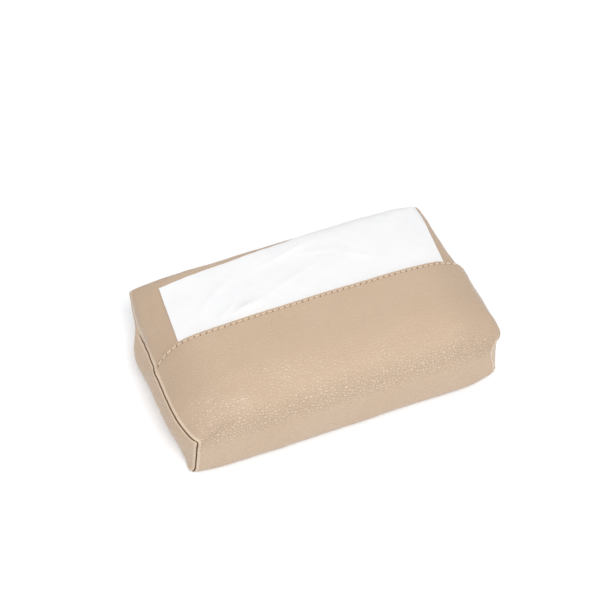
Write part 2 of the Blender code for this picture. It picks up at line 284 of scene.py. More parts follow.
def relief(share, station):
    station = wrapStation(station)
    u = share * foldPlan["uPerShare"]
    v = station * foldPlan["vPerStation"]
    height = sum(amount * undulation(u, v, *wave) for amount, *wave in foldPlan["waves"])
    dip, offset = foldPlan["behind"]
    for centreU, centreV, halfLength, halfWidth, turn, amount in foldPlan["folds"]:
        run, off = turnedLine(u, v, centreU, centreV, turn)
        bend = hump(off, halfWidth) - dip * hump(off - offset * halfWidth, halfWidth)
        height = height + amount * mm * bend * hump(run, halfLength)
    toSeam = (1 - np.abs(share)) * foldPlan["uPerShare"]
    ease, least = foldPlan["seamEase"]
    height = height * smooth(toSeam / ease + least)
    sway, wavelength, seed = foldPlan["puckerSway"]
    phase = v * 2 * math.pi / foldPlan["puckerPitch"] + sway * undulation(v, 0 * v, wavelength, seed)
    return height + foldPlan["pucker"] * np.sin(phase) * np.exp(-toSeam / foldPlan["puckerFade"])


def wrapStation(station):
    return np.mod(station - baseMiddle, loopCount) + baseMiddle


def endAt(share, station):
    # the outline at the end that the share is nearer to, and how far its edge is turned down
    rise = onSide("rise", share, station)
    end = splinePoint(endLoop, station)
    for cornerStation, y, z, onLeft, onRight in cornerPulls:
        pull = hump(station - cornerStation, cornerPullReach) * np.where(share < 0, onLeft, onRight)
        end = end + pull[..., None] * (np.array([y, z]) - end)
    end = end * stacked(np.ones_like(rise), rise)
    return end, end[..., 1] * onSide("drop", share, station)


def drapeTurn(share):
    # 0 on the top, 1 at the seam, and the share that the turn takes up
    start = np.where(share < 0, caseForm["drapeFrom"][-1], caseForm["drapeFrom"][1])
    return np.clip((np.abs(share) - start) / (1 - start), 0, 1), 1 - start


def outlineAt(share, station):
    share, station = np.broadcast_arrays(share, wrapStation(station))
    end, drop = endAt(share, station)
    reach = np.clip(np.abs(share), 0, 1)
    even = caseForm["cushionShare"]
    fullness = even * (1 - reach**2) + (1 - even) * (1 - reach ** caseForm["crownPower"])
    flat = end + fullness[..., None] * (splinePoint(middleLoop, station) - end)
    turn, _ = drapeTurn(share)
    atShare, atStation, shareSpread, stationSpread, push = caseForm["fuller"]
    near = hump(share - atShare, shareSpread) * hump(station - atStation, stationSpread)
    push = push * near * smooth((1 - reach) / caseForm["fullerEase"])
    return flat - stacked(push, drop * (1 - np.cos(turn * math.pi / 2)))


def seamReach(share, station):
    y, z = np.moveaxis(splinePoint(endLoop, station), -1, 0)
    inward = np.maximum(0, 1 - (y / caseForm["endHalfDepth"]) ** 2)
    bow = caseForm["seamBow"] * inward * np.maximum(0, z / caseForm["endHeight"])
    return caseForm["halfLength"] + bow + onSide("drift", share, wrapStation(station)) * mm


def climb(share, y):
    height = flaps["climb"] - flaps["climbEase"] * smooth((np.abs(share) - 0.9) / 0.1)
    return height * smooth((y - flaps["climbStart"]) / (flaps["climbEnd"] - flaps["climbStart"]))


def outShare(share, station):
    # where along the case a share lies once the strip's end is turned down
    _, drop = endAt(share, wrapStation(station))
    full = smooth(drop / (caseForm["drapeFull"] * caseForm["endHeight"]))
    turn, room = drapeTurn(share)
    return share + np.sign(share) * room * full * (np.sin(turn * math.pi / 2) - turn)


def bareSkin(share, station, front):
    share, station = np.broadcast_arrays(share, station)
    y, z = np.moveaxis(outlineAt(share, station), -1, 0)
    if front:
        z = z + np.where(station > flaps["climbStation"], climb(share, y), 0)
    return stacked(outShare(share, station) * seamReach(share, station), y, z)


def roundRun(share, station, front):
    return bareSkin(share, station + probeStation, front) - bareSkin(share, station - probeStation, front)


def sectionNormal(share, station, front):
    # outwards, across the case
    run = roundRun(share, station, front)
    return unit(stacked(0 * run[..., 0], -run[..., 2], run[..., 1]))


def skin(share, station, depth, front):
    # points so deep under the leather's outer face, and the way out
    share, station = np.broadcast_arrays(share, station)
    place = bareSkin(share, station, front)
    inner = np.clip(share - probeShare, -1, 1 - 2 * probeShare)
    across = bareSkin(inner + 2 * probeShare, station, front) - bareSkin(inner, station, front)
    normal = unit(np.cross(across, roundRun(share, station, front)))
    lift = relief(share, station) * smooth(place[..., 2] / caseForm["flatUnder"]) - depth
    return place + normal * lift[..., None], normal


def stationAt(share, y):
    # the station over the top where the outline is at this y
    low = np.full(np.broadcast(share, y).shape, 7.0)
    high = np.full(low.shape, 16.0)
    for _ in range(30):
        middle = (low + high) / 2
        short = outlineAt(share + 0 * middle, middle)[..., 0] < y
        low = np.where(short, middle, low)
        high = np.where(short, high, middle)
    return (low + high) / 2


def frontEdge(share):
    return flaps["frontReach"] - flaps["frontCornerDrop"] * np.abs(share) ** flaps["cornerPower"]


def rearEdge(share):
    return -flaps["rearReach"] + 0 * share


def buildPiece(name, points, faces, looks, material, sharpAngle=50.0):
    # looks holds what the material reads, point by point
    points = np.asarray(points).reshape(-1, 3)
    mesh = bpy.data.meshes.new(name)
    mesh.from_pydata(points.tolist(), [], [tuple(map(int, face)) for face in faces])
    for label, values in {"restPlace": points, **looks}.items():
        values = np.asarray(values, dtype=np.float32).ravel()
        single = len(values) == len(points)
        attribute = mesh.attributes.new(label, "FLOAT" if single else "FLOAT_VECTOR", "POINT")
        attribute.data.foreach_set("value" if single else "vector", values)
    shape = bmesh.new()
    shape.from_mesh(mesh)
    bmesh.ops.remove_doubles(shape, verts=shape.verts, dist=weldDistance)
    bmesh.ops.dissolve_degenerate(shape, edges=shape.edges, dist=weldDistance)
    bmesh.ops.recalc_face_normals(shape, faces=shape.faces)
    shape.to_mesh(mesh)
    shape.free()
    mesh.shade_smooth()
    mesh.set_sharp_from_angle(angle=math.radians(sharpAngle))
    mesh.materials.append(material)
    piece = bpy.data.objects.new(name, mesh)
    bpy.context.collection.objects.link(piece)
    return piece


def quads(*corners):
    return stacked(*corners).reshape(-1, 4).tolist()


def gridFaces(rows, columns, start=0, flip=False):
    index = np.arange(rows * columns).reshape(rows, columns) + start
    corners = [index[:-1, :-1], index[:-1, 1:], index[1:, 1:], index[1:, :-1]]
    return quads(*(corners[::-1] if flip else corners))


def ringFaces(rows, count, start=0):
    index = np.arange(rows * count).reshape(rows, count) + start
    after = np.roll(index, -1, axis=1)
    return quads(index[:-1], after[:-1], after[1:], index[1:])


def borderOf(grid):
    return np.concatenate([grid[0, :-1], grid[:-1, -1], grid[-1, :0:-1], grid[:0:-1, 0]])


def shellFaces(rows, columns):
    # an outer grid, then an inner grid of the same size, closed round their border
    half = rows * columns
    border = borderOf(np.arange(half).reshape(rows, columns))
    after = np.roll(border, -1)
    faces = gridFaces(rows, columns) + gridFaces(rows, columns, half, flip=True)
    return faces + quads(border, border + half, after + half, after)


def bendFlap(piece, flap):
    # the flap's middle turns with its body, and its sewn ends stay with the case
    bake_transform(piece, "case", flap, start=(0, 0, 0.030), end=(0, 0, 0.045))
    mesh = piece.data
    lift = np.empty(len(mesh.vertices), dtype=np.float32)
    mesh.attributes["lift"].data.foreach_get("value", lift)
    mesh.attributes["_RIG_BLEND"].data.foreach_set("value", lift)


def liftOf(share, station, front):
    # 0 where the piece stays with the case, 1 where it turns with the flap
    upTo = station if front else 2 * crest - station
    power = flaps["frontLiftPower"] if front else flaps["rearLiftPower"]
    turn = smooth((upTo - flaps["bendStart"]) / (flaps["bendEnd"] - flaps["bendStart"]))
    return np.maximum(0, 1 - np.abs(share) ** power) * turn


stripGrid = {
    "baseEnd": 3.2,
    "baseStep": 6 * mm,
    "wallStep": 1.6 * mm,
    "topRows": 26,
    # how far from the flap's edge, in millimetres
    "edgeRows": [12, 10, 9, 8.4, 8, 7.6, 7, 6, 5, 4.2, 3.6, 3.2, 2.9, 2.6, 2.3, 2, 1.6, 1.2, 0.85, 0.55,
                 0.3, 0.12, 0.03, 0],
    "rearColumn": 1.7 * mm,
    "endColumns": 13,
    "endReach": 7 * mm,
    "insideInset": 1.2 * mm,
    "liningColumn": 3 * mm,
    "liningReach": 0.985,
    "liningStop": 8.8 * mm,
}
# Painted light and shade on the leather's edges, each as (amount, width): a painted highlight on the rolled
# edge beside the end seams and along the flap's edge, a painted shadow line on its cut; inside is the value
# for the inner faces
edgeLightAndShade = {"seam": (0.15, 1.3 * mm), "edge": (0.15, 0.9 * mm), "cutShadow": (0.3, 0.2 * mm), "inside": 0.3}


def stripStations(shares, front, wallStep, topRows, edgeSteps):
    # stations of a half strip, rows by shares, from the middle of the base to near the flap's edge
    def sameEnd(station):
        return station if front else 2 * crest - station

    coarse = np.linspace(baseMiddle, flaps["bendEnd"], 400)
    length = lengthAlong(outlineAt(0 * coarse, coarse))
    baseEnd = np.interp(stripGrid["baseEnd"], coarse, length)
    onBase = np.linspace(0, baseEnd, round(baseEnd / stripGrid["baseStep"]) + 1)[:-1]
    onWall = np.linspace(baseEnd, length[-1], round((length[-1] - baseEnd) / wallStep) + 1)
    lower = np.interp(np.concatenate([onBase, onWall]), length, coarse)
    rows = [np.full(len(shares), station) for station in lower]
    mirror = 1 if front else -1
    edge = frontEdge(shares) if front else -rearEdge(shares)
    firstY = outlineAt(shares, sameEnd(rows[-1]))[:, 0] * mirror
    lastY = edge - edgeSteps[0]
    lines = [firstY + (lastY - firstY) * step / topRows for step in range(1, topRows + 1)]
    lines += [edge - distance for distance in edgeSteps[1:]]
    rows += [sameEnd(stationAt(shares, y * mirror)) for y in lines]
    toEdge = np.ones((len(rows), len(shares)))
    toEdge[-len(edgeSteps):] = np.asarray(edgeSteps)[:, None]
    return sameEnd(np.array(rows)), toEdge


def rollPoints(edgePlace, normal, side, slope, turns):
    # the leather turns in at the seam: points round the roll, away from the strip's last point
    radius = seamRoll["radius"]
    start = math.pi / 2 - slope
    points = []
    for share in turns:
        angle = start + (math.radians(seamRoll["creaseAngle"]) - start) * share
        out = side * radius * (np.cos(angle) - np.cos(start))
        up = radius * (np.sin(angle) - np.sin(start))
        points.append(edgePlace + out[..., None] * np.array([1.0, 0, 0]) + up[..., None] * normal)
    return np.stack(points, axis=1)


def endSlope(side, station, front):
    # how steeply the skin falls to the seam there
    edge = np.full(np.shape(station), float(side))
    near = bareSkin(edge * 0.992, station, front)
    last = bareSkin(edge, station, front)
    run = np.abs(last[..., 0] - near[..., 0])
    drop = -np.sum((last - near) * sectionNormal(edge, station, front), axis=-1)
    return np.clip(np.arctan2(drop, run), -0.2, 1.35)


def finerEnds(shares):
    # more columns in the last few millimetres before the seams
    near = 1 - stripGrid["endReach"] / caseForm["halfLength"]
    end = np.linspace(near, 1, stripGrid["endColumns"])
    return np.concatenate([-end[::-1], shares[np.abs(shares) < near], end])


def evenShares(edge, reach, pitch, multiple=1):
    # shares evenly spaced along a flap's free edge
    fine = np.linspace(-reach, reach, 2000)
    length = lengthAlong(bareSkin(fine, stationAt(fine, edge(fine)), False))
    count = multiple * round(length[-1] / (pitch * multiple))
    return np.interp(np.linspace(0, length[-1], count + 1), length, fine)


def grainAt(station):
    return grainRise["even"] + sum(grainRise["atBend"] * hump(station - bend, grainRise["spread"])
                                   for bend in grainRise["bends"])


def endShadeAt(share, station):
    amount = smooth((np.abs(share) - endShadePart["fromShare"]) / endShadePart["overShare"])
    amount = amount * smooth((station - endShadePart["front"]) / endShadePart["ease"])
    return amount * smooth((endShadePart["rear"] - station) / endShadePart["ease"])


stitchLine = {
    "inset": 2.6 * mm,
    "pitch": 4.4 * mm,
    "stepsPerStitch": 4,
    "threadRadius": 0.35 * mm,
    "grooveDepth": 0.1 * mm,
    "grooveWidth": 0.75 * mm,
    "holeDepth": 0.3 * mm,
    "holeWidth": 0.7 * mm,
}


def makeStrip(name, front, shares, material):
    edgeSteps = np.array(stripGrid["edgeRows"]) * mm
    stations, toEdge = stripStations(shares, front, stripGrid["wallStep"], stripGrid["topRows"], edgeSteps)
    rows, columns = stations.shape
    spread = np.broadcast_to(shares, stations.shape)
    radius = flaps["hemDepth"] / 2
    back = np.clip(radius - toEdge, 0, radius)
    outerDepth = radius - np.sqrt(radius**2 - back**2)
    hemmed = smooth((flaps["hem"] + flaps["hemEase"] / 2 - toEdge) / flaps["hemEase"])
    innerDepth = layers["leather"] + (flaps["hemDepth"] - layers["leather"]) * hemmed - outerDepth
    if front:
        fromHoles = toEdge - stitchLine["inset"]
        groove = stitchLine["grooveDepth"] * hump(fromHoles, stitchLine["grooveWidth"])
        outerDepth = outerDepth + groove
        innerDepth = innerDepth - groove
        holes = slice(None, None, stitchLine["stepsPerStitch"])
        outerDepth[:, holes] += stitchLine["holeDepth"] * hump(fromHoles[:, holes], stitchLine["holeWidth"])
    outer, _ = skin(spread, stations, outerDepth, front)
    inward = 1 - stripGrid["insideInset"] / caseForm["halfLength"]
    inner, _ = skin(spread * inward, stations, innerDepth, front)
    turns = np.linspace(0, 1, seamRoll["steps"] + 1)[1:]
    rolls, shades = {}, {}
    for side, column in ((-1, 0), (1, -1)):
        edgeStations = stations[:, column]
        normal = sectionNormal(np.full(rows, float(side)), edgeStations, front)
        rolls[side] = rollPoints(outer[:, column], normal, side, endSlope(side, edgeStations, front), turns)
        shades[side] = turns * onSide("crease", side, wrapStation(stations[:, :1]))
    rings = np.concatenate([rolls[-1][:, ::-1], outer, rolls[1], inner[:, ::-1]], axis=1)
    rollCount = seamRoll["steps"]
    ringCount = rings.shape[1]
    faces = ringFaces(rows, ringCount)
    for first in (0, (rows - 1) * ringCount):
        outerAt = first + rollCount + np.arange(columns)
        innerAt = first + 2 * rollCount + columns + np.arange(columns)[::-1]
        faces += quads(outerAt[:-1], outerAt[1:], innerAt[1:], innerAt[:-1])
        faces.append([*range(first, outerAt[0] + 1), innerAt[0]])
        faces.append([*range(outerAt[-1], outerAt[-1] + rollCount + 1), innerAt[-1]])
    rolled = np.ones((rows, rollCount))
    ringShares = np.concatenate([-rolled, spread, rolled, spread[:, ::-1]], axis=1)
    ends = rolled * stations[:, :1], rolled * stations[:, -1:]
    ringStations = np.concatenate([ends[0], stations, ends[1], stations[:, ::-1]], axis=1)
    gaps = {"seam": (1 - np.abs(spread)) * caseForm["halfLength"], "edge": toEdge, "cutShadow": toEdge}
    # painted highlights beside the seams and along the flap's edge, and a painted shadow line on its cut
    edgePaint = {label: edgeLightAndShade[label][0] * hump(gap, edgeLightAndShade[label][1]) for label, gap in gaps.items()}
    shade = np.maximum(edgePaint["seam"], edgePaint["edge"]) + edgePaint["cutShadow"]
    inside = 0 * spread + edgeLightAndShade["inside"]
    looks = {
        "seamLightAndShade": np.concatenate([shades[-1][:, ::-1], shade, shades[1], inside], axis=1),
        "grainRise": grainAt(ringStations),
        "shine": np.ones(ringStations.size),
        "endShade": endShadeAt(ringShares, ringStations),
        "lift": liftOf(ringShares, ringStations, front),
    }
    return buildPiece(name, rings, faces, looks, material)


def makeLayer(name, front, shares, near, far, edgeStop, material, wallStep=3 * mm):
    # a thin layer under the leather, from the middle of the base to near the flap's edge
    stations, _ = stripStations(shares, front, wallStep, 20, np.array([12 * mm, edgeStop]))
    spread = np.broadcast_to(shares, stations.shape)
    points = np.stack([skin(spread, stations, depth, front)[0] for depth in (near, far)])
    lay = stacked(spread * caseForm["halfLength"], stations * foldPlan["vPerStation"] * mm, 0 * spread)
    looks = {"lay": [lay, lay], "lift": [liftOf(spread, stations, front)] * 2}
    return buildPiece(name, points, shellFaces(*stations.shape), looks, material)


# Effects that several finishes share
def newGroup(name, inputs, outputs):
    group = bpy.data.node_groups.new(name, "ShaderNodeTree")
    for label, kind, value in inputs:
        socket = group.interface.new_socket(name=label, in_out="INPUT", socket_type="NodeSocket" + kind)
        if value is not None:
            socket.default_value = value
    for label in outputs:
        group.interface.new_socket(name=label, in_out="OUTPUT", socket_type="NodeSocketFloat")
    given = group.nodes.new("NodeGroupInput")
    out = group.nodes.new("NodeGroupOutput")
    return [group, out] + [given.outputs[label] for label, _, _ in inputs]


def feed(tree, node, label, value):
    # a socket by its name, or by its number as in0, in1 and so on
    socket = node.inputs[int(label[2:]) if label.startswith("in") and label[2:].isdigit() else label]
    if isinstance(value, bpy.types.NodeSocket):
        tree.links.new(value, socket)
    else:
        socket.default_value = value


def addNode(tree, kind, settings=None, **values):
    node = tree.nodes.new("ShaderNode" + kind)
    for label, value in (settings or {}).items():
        setattr(node, label, value)
    for label, value in values.items():
        feed(tree, node, label.replace("_", " "), value)
    return node


def math2(tree, operation, first, second=0.0):
    return addNode(tree, "Math", {"operation": operation}, in0=first, in1=second).outputs[0]


def times(tree, first, second):
    return math2(tree, "MULTIPLY", first, second)


def vector2(tree, operation, first, second):
    return addNode(tree, "VectorMath", {"operation": operation}, in0=first, in1=second).outputs[0]


def mapRange(tree, value, low, high, newLow=0.0, newHigh=1.0):
    settings = {"interpolation_type": "SMOOTHSTEP"}
    ends = {"From_Min": low, "From_Max": high, "To_Min": newLow, "To_Max": newHigh}
    return addNode(tree, "MapRange", settings, Value=value, **ends).outputs["Result"]


def mixColor(tree, share, first, second, blend="MIX"):
    settings = {"data_type": "RGBA", "blend_type": blend}
    return addNode(tree, "Mix", settings, in0=share, in6=first, in7=second).outputs[2]


def makePebbleGrain():
    # rounded pebbles with fine furrows between them
    inputs = [
        ("Place", "Vector", None), ("Pebbles per metre", "Float", 650.0), ("Unevenness", "Float", 0.0006),
    ]
    group, out, place, perMetre, unevenness = newGroup("pebbleGrain", inputs, ["Height", "Furrow"])
    drift = addNode(group, "TexNoise", Vector=place, Scale=260.0, Detail=2.0).outputs["Color"]
    centred = vector2(group, "SUBTRACT", drift, (0.5, 0.5, 0.5))
    scaled = addNode(group, "VectorMath", {"operation": "SCALE"}, in0=centred, Scale=unevenness).outputs[0]
    drawn = vector2(group, "MULTIPLY", vector2(group, "ADD", place, scaled), (0.7, 1.0, 1.0))
    toEdge = {"feature": "DISTANCE_TO_EDGE"}
    broad, fine = (addNode(group, "TexVoronoi", toEdge, Vector=drawn, Scale=scale).outputs["Distance"]
                   for scale in (perMetre, times(group, perMetre, 2.3)))
    dome = times(group, mapRange(group, broad, 0.0, 0.34), 0.88)
    small = times(group, mapRange(group, fine, 0.0, 0.3), 0.12)
    feed(group, out, "Height", math2(group, "ADD", dome, small))
    feed(group, out, "Furrow", mapRange(group, broad, 0.0, 0.12, 1.0, 0.0))
    return group


def makeSoftMottle():
    # cloudy unevenness of a dyed or dusty surface, broad and fine
    inputs = [("Place", "Vector", None), ("Clouds per metre", "Float", 30.0), ("Fine share", "Float", 0.35)]
    group, out, place, perMetre, fineShare = newGroup("softMottle", inputs, ["Mottle"])
    broad = addNode(group, "TexNoise", Vector=place, Scale=perMetre, Detail=3.0, Roughness=0.55)
    finer = times(group, perMetre, 9.0)
    fine = addNode(group, "TexNoise", Vector=place, Scale=finer, Detail=4.0, Roughness=0.6)
    both = addNode(group, "Mix", in0=fineShare, in2=broad.outputs["Fac"], in3=fine.outputs["Fac"])
    feed(group, out, "Mottle", both.outputs[0])
    return group


def makeCrossWeave():
    # threads that pass over and under each other, by the piece's own along and across
    inputs = [("Lay", "Vector", None), ("Threads per metre", "Float", 1600.0)]
    group, out, lay, perMetre = newGroup("crossWeave", inputs, ["Height", "Gap"])
    split = addNode(group, "SeparateXYZ", Vector=lay)
    turns = times(group, perMetre, math.pi)
    product = times(group, *(math2(group, "SINE", times(group, split.outputs[i], turns)) for i in (0, 1)))
    feed(group, out, "Height", math2(group, "ADD", times(group, product, 0.5), 0.5))
    feed(group, out, "Gap", mapRange(group, math2(group, "ABSOLUTE", product), 0.0, 0.25, 1.0, 0.0))
    return group


def makeFibreFelt():
    # short tangled fibres, for suede, card and tissue paper
    inputs = [
        ("Place", "Vector", None),
        ("Fibres per metre", "Float", 1500.0),
        ("Stretch", "Vector", (1.0, 0.35, 1.0)),
    ]
    group, out, place, perMetre, stretch = newGroup("fibreFelt", inputs, ["Height", "Speck"])
    drawn = vector2(group, "MULTIPLY", place, stretch)
    tangle = {"Detail": 4.0, "Roughness": 0.7, "Distortion": 1.2}
    fibres = addNode(group, "TexNoise", Vector=drawn, Scale=perMetre, **tangle).outputs["Fac"]
    feed(group, out, "Height", fibres)
    feed(group, out, "Speck", mapRange(group, fibres, 0.62, 0.74))
    return group


pebbleGrain = makePebbleGrain()
softMottle = makeSoftMottle()
crossWeave = makeCrossWeave()
fibreFelt = makeFibreFelt()


def newMaterial(name):
    material = bpy.data.materials.new(name)
    material.use_nodes = True
    return material, material.node_tree, material.node_tree.nodes["Principled BSDF"]


def placeGroup(tree, group, **values):
    node = tree.nodes.new("ShaderNodeGroup")
    node.node_tree = group
    for label, value in values.items():
        feed(tree, node, label.replace("_", " "), value)
    return node.outputs


def fromPiece(tree, name, output="Fac"):
    return addNode(tree, "Attribute", {"attribute_name": name}).outputs[output]


def mottleOn(tree, place, perMetre):
    return placeGroup(tree, softMottle, Place=place, Clouds_per_metre=perMetre)["Mottle"]


def cloudsOn(tree, place, perMetre, low, high):
    return mapRange(tree, mottleOn(tree, place, perMetre), low, high)


def finish(tree, shader, color, roughness, height, depth):
    bump = addNode(tree, "Bump", Height=height, Distance=depth, Strength=1.0)
    feed(tree, shader, "Base Color", color)
    feed(tree, shader, "Roughness", roughness)
    feed(tree, shader, "Normal", bump.outputs["Normal"])


leatherFinish = {
    "color": (0.637, 0.477, 0.341, 1.0),
    "cloudColor": (0.615, 0.457, 0.323, 1.0),
    "clouds": (26.0, 0.35, 0.65),  # per metre, and the part of their range that counts
    "furrowShadeColor": (0.50, 0.36, 0.245, 1.0),
    "furrowShadeShare": (0.25, 0.7),  # painted shade in the furrows: elsewhere, and where the leather bends, deeper there to damp its lit band
    "topColor": (0.78, 0.62, 0.475, 1.0),  # painted highlight: the pebbles' tops lighter where the leather bends, standing in for glints
    "topShare": 0.42,
    "topRange": (0.25, 0.8),
    "endShadeColor": (0.90, 0.89, 0.89, 1.0),  # painted shade: multiplies the colour towards the flaps' ends
    "rimHighlightColor": (0.80, 0.65, 0.50, 1.0),  # painted highlight where the rolled edges catch the light
    "rimHighlightShare": 0.75,
    "rimHighlightRange": (0.02, 0.13),
    "creaseShadeColor": (0.20, 0.105, 0.05, 1.0),
    "creaseShadeRange": (0.24, 0.62),
    "creaseGloss": 0.1,
    "pebblesPerMetre": 540.0,
    "grainDepth": 0.36 * mm,
    "roughness": (0.22, 0.48),
    "gloss": 0.42,
}


def makeLeather():
    look = leatherFinish
    material, tree, shader = newMaterial("beigeLeather")
    place = fromPiece(tree, "restPlace", "Vector")
    seam = fromPiece(tree, "seamLightAndShade")
    grain = placeGroup(tree, pebbleGrain, Place=place, Pebbles_per_metre=look["pebblesPerMetre"])
    cloudy = cloudsOn(tree, place, *look["clouds"])
    color = mixColor(tree, cloudy, look["color"], look["cloudColor"])
    rise = fromPiece(tree, "grainRise")
    bent = mapRange(tree, rise, grainRise["even"], grainRise["even"] + grainRise["atBend"])
    # painted shade in the furrows between the pebbles, more where the leather bends
    furrowShade = times(tree, grain["Furrow"], mapRange(tree, bent, 0.0, 1.0, *look["furrowShadeShare"]))
    color = mixColor(tree, furrowShade, color, look["furrowShadeColor"])
    # painted highlight: lighter pebble tops where the leather bends, standing in for glints
    glintTops = times(tree, bent, mapRange(tree, grain["Height"], *look["topRange"]))
    color = mixColor(tree, times(tree, glintTops, look["topShare"]), color, look["topColor"])
    # painted shade towards the flaps' ends
    color = mixColor(tree, fromPiece(tree, "endShade"), color, look["endShadeColor"], "MULTIPLY")
    # painted highlight on the rolled edges by the seams and the flap's edge
    rimLit = times(tree, mapRange(tree, seam, *look["rimHighlightRange"]), look["rimHighlightShare"])
    color = mixColor(tree, rimLit, color, look["rimHighlightColor"])
    # painted shade in the seams' creases, and a painted shadow line along the flap's cut edge
    creaseShade = mapRange(tree, seam, *look["creaseShadeRange"])
    color = mixColor(tree, creaseShade, color, look["creaseShadeColor"])
    gloss = times(tree, fromPiece(tree, "shine"), look["gloss"])
    gloss = times(tree, mapRange(tree, creaseShade, 0.0, 1.0, 1.0, look["creaseGloss"]), gloss)
    feed(tree, shader, "Specular IOR Level", gloss)
    rough = mapRange(tree, math2(tree, "ADD", cloudy, grain["Furrow"]), 0.0, 1.6, *look["roughness"])
    finish(tree, shader, color, rough, grain["Height"], times(tree, rise, look["grainDepth"]))
    return material


suedeFinish = {
    "color": (0.52, 0.41, 0.31, 1.0),
    "napColor": (0.43, 0.335, 0.25, 1.0),
    "clouds": (45.0, 0.38, 0.62),
    "fibresPerMetre": 1400.0,
    "napDepth": 0.12 * mm,
    "speckShare": 0.4,
    "roughness": (0.84, 0.95),
    "sheen": 0.25,
}


def makeSuede():
    look = suedeFinish
    material, tree, shader = newMaterial("suedeLining")
    place = fromPiece(tree, "restPlace", "Vector")
    nap = placeGroup(tree, fibreFelt, Place=place, Fibres_per_metre=look["fibresPerMetre"])
    brushed = cloudsOn(tree, place, *look["clouds"])
    color = mixColor(tree, brushed, look["color"], look["napColor"])
    color = mixColor(tree, times(tree, nap["Speck"], look["speckShare"]), color, look["napColor"])
    shader.inputs["Sheen Weight"].default_value = look["sheen"]
    rough = mapRange(tree, brushed, 0.0, 1.0, *look["roughness"])
    finish(tree, shader, color, rough, nap["Height"], look["napDepth"])
    return material


tapeFinish = {
    "color": (0.42, 0.32, 0.23, 1.0),
    "gapShadeAndDirtColor": (0.22, 0.16, 0.11, 1.0),
    "gapShadeShare": 0.7,
    "dirt": (60.0, 0.4, 0.7),
    "dirtShare": 0.3,
    "threadsPerMetre": 1700.0,
    "weaveDepth": 0.15 * mm,
    "roughness": (0.9, 0.75),
}


def makeTapeWeave():
    look = tapeFinish
    material, tree, shader = newMaterial("wovenTape")
    lay = fromPiece(tree, "lay", "Vector")
    weave = placeGroup(tree, crossWeave, Lay=lay, Threads_per_metre=look["threadsPerMetre"])
    # painted shade in the gaps between the threads; the dirt takes the same colour
    color = mixColor(tree, times(tree, weave["Gap"], look["gapShadeShare"]), look["color"], look["gapShadeAndDirtColor"])
    dirt = cloudsOn(tree, fromPiece(tree, "restPlace", "Vector"), *look["dirt"])
    color = mixColor(tree, times(tree, dirt, look["dirtShare"]), color, look["gapShadeAndDirtColor"])
    rough = mapRange(tree, weave["Height"], 0.0, 1.0, *look["roughness"])
    finish(tree, shader, color, rough, weave["Height"], look["weaveDepth"])
    return material


threadFinish = {
    "color": (0.87, 0.72, 0.56, 1.0),
    "twistShadeColor": (0.70, 0.54, 0.39, 1.0),
    "twistPitch": 1.3 * mm,
    "twistDepth": 0.04 * mm,
    "roughness": (0.5, 0.7),
}


def makeTwistedThread():
    look = threadFinish
    material, tree, shader = newMaterial("waxedThread")
    split = addNode(tree, "SeparateXYZ", Vector=fromPiece(tree, "lay", "Vector"))
    turned = times(tree, split.outputs[0], 2 * math.pi / look["twistPitch"])
    strands = math2(tree, "SINE", math2(tree, "ADD", turned, split.outputs[1]))
    twist = mapRange(tree, strands, -1.0, 0.2, 1.0, 0.0)
    # painted shade in the grooves of the twist
    color = mixColor(tree, twist, look["color"], look["twistShadeColor"])
    rough = mapRange(tree, twist, 0.0, 1.0, *look["roughness"])
    finish(tree, shader, color, rough, strands, look["twistDepth"])
    return material


# the holes are painted dark, standing in for the shade inside them
holeFinish = {
    "cloudsPerMetre": 900.0,
    "color": (0.11, 0.055, 0.028, 1.0),
    "cloudColor": (0.22, 0.13, 0.075, 1.0),
    "roughness": (0.7, 0.9),
}


def makeHoleShade():
    material, tree, shader = newMaterial("needleHoleShade")
    mottle = mottleOn(tree, fromPiece(tree, "restPlace", "Vector"), holeFinish["cloudsPerMetre"])
    feed(tree, shader, "Base Color", mixColor(tree, mottle, holeFinish["color"], holeFinish["cloudColor"]))
    feed(tree, shader, "Roughness", mapRange(tree, mottle, 0.3, 0.7, *holeFinish["roughness"]))
    return material


boardFinish = {
    "cloudsPerMetre": 35.0,
    "fibresPerMetre": 420.0,
    "color": (0.40, 0.38, 0.345, 1.0),
    "cloudColor": (0.32, 0.30, 0.27, 1.0),
    "speckColor": (0.19, 0.175, 0.155, 1.0),
    "speckShare": 0.6,
    "fibreDepth": 0.1 * mm,
    "roughness": (0.8, 0.92),
}


def makeGreyBoard():
    look = boardFinish
    material, tree, shader = newMaterial("greyBoard")
    place = addNode(tree, "TexCoord").outputs["Object"]
    fibres = placeGroup(tree, fibreFelt, Place=place, Fibres_per_metre=look["fibresPerMetre"])
    mottle = mottleOn(tree, place, look["cloudsPerMetre"])
    color = mixColor(tree, mottle, look["color"], look["cloudColor"])
    color = mixColor(tree, times(tree, fibres["Speck"], look["speckShare"]), color, look["speckColor"])
    rough = mapRange(tree, mottle, 0.3, 0.7, *look["roughness"])
    finish(tree, shader, color, rough, fibres["Height"], look["fibreDepth"])
    return material


tissueFinish = {
    "color": (0.965, 0.965, 0.972, 1.0),
    "shadeColor": (0.94, 0.943, 0.955, 1.0),
    "shade": (55.0, 0.35, 0.7),
    "fibresPerMetre": 900.0,
    "fibreStretch": (1.0, 0.3, 0.5),
    "crepeDepth": 0.1 * mm,
    "roughness": (0.9, 0.98),
}


def makeTissuePaper():
    look = tissueFinish
    material, tree, shader = newMaterial("tissuePaper")
    place = fromPiece(tree, "restPlace", "Vector")
    fibres = placeGroup(tree, fibreFelt, Place=place, Fibres_per_metre=look["fibresPerMetre"],
                        Stretch=look["fibreStretch"])
    shade = cloudsOn(tree, place, *look["shade"])
    color = mixColor(tree, shade, look["color"], look["shadeColor"])
    rough = mapRange(tree, shade, 0.0, 1.0, *look["roughness"])
    finish(tree, shader, color, rough, fibres["Height"], look["crepeDepth"])
    return material


